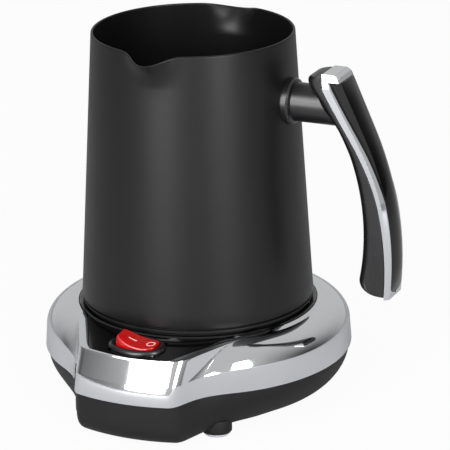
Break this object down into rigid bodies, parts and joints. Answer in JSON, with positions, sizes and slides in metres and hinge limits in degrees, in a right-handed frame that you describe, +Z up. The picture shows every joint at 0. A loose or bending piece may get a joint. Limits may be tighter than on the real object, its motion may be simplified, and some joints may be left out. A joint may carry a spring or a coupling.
{
  "type": "electric turkish coffee maker",
  "caption": "Electric Turkish coffee maker: lift-off coated pot with two pouring lips and a curved bar handle, on a heating base with a chrome surround and a red rocker switch.",
  "frame": {"origin": "on the table, under the middle of the whole object's bounding box", "axes": "+Z up along the pot's axis, +X towards the handle, -Y towards the switch, +Y towards the cord inlet"},
  "size_m": [0.1448, 0.1316, 0.1454],
  "materials": {
    "black_abs": "moulded ABS, fine matt texture",
    "gloss_abs": "moulded ABS, polished gloss",
    "phenolic": "compression moulded phenolic, satin",
    "chrome_plate": "bright chrome plate on ABS",
    "coated_steel": "matt non-stick coat on spun steel",
    "grey_rubber": "moulded rubber",
    "black_rubber": "moulded rubber",
    "zinc_steel": "zinc plated",
    "spring_steel": "bright rolled",
    "brass": "stamped and turned",
    "aluminium": "pressed plate",
    "sheath": "heat-tinted tube",
    "nylon": "glass-filled nylon, moulded",
    "red_acrylic": "translucent red, polished",
    "neon_glass": "small neon lamp",
    "steatite": "fired steatite",
    "wire_sleeve": "silicone-insulated wire"
  },
  "bodies": {
    "base": {"lower_shell": "black_abs", "foot_pads": "grey_rubber", "base_screws": "zinc_steel", "cord_gland": "black_rubber", "chrome_trim": "chrome_plate", "deck": "gloss_abs", "base_connector": "nylon", "connector_screws": "zinc_steel", "live_contact": "brass", "neutral_contact": "brass", "earth_contacts": "spring_steel", "switch_housing": "black_abs", "switch_terminals": "brass", "neon_lamp": "neon_glass", "switch_leads": "wire_sleeve"},
    "rocker": {"rocker": "red_acrylic", "rocker_plunger": "brass", "plunger_spring": "spring_steel"},
    "lever": {"contact_lever": "brass"},
    "pot": {"pot_body": "coated_steel", "heat_plate": "aluminium", "heating_element": "sheath", "element_leads": "wire_sleeve", "thermostat": "steatite", "thermal_fuse": "spring_steel", "pot_skirt": "black_abs", "skirt_screws": "zinc_steel", "pot_connector": "nylon", "pot_pin": "brass", "pot_ring": "brass", "pot_earth_ring": "spring_steel", "handle_stud": "spring_steel", "stem_collar": "phenolic", "handle_stem": "phenolic", "handle_core": "phenolic", "handle_screw": "zinc_steel", "handle_trim": "chrome_plate", "handle_spine": "gloss_abs"}
  },
  "joints": [
    {"name": "rocker_hinge", "type": "hinge", "parent": "base", "child": "rocker", "pos_m": [-0.01225, -0.04948, 0.03611], "axis": [0, -0.9971, -0.0767], "range_deg": [0, 24]},
    {"name": "lever_hinge", "type": "hinge", "parent": "base", "child": "lever", "pos_m": [-0.01225, -0.04868, 0.02574], "axis": [0, -0.9971, -0.0767], "range_deg": [-12, 0]},
    {"name": "pot_lift", "type": "slide", "parent": "base", "child": "pot", "axis": [0, 0, 1], "range_m": [0, 0.06]}
  ],
  "couplings": [
    {"joint": "lever_hinge", "follows": "rocker_hinge", "ratio": -0.5}
  ]
}
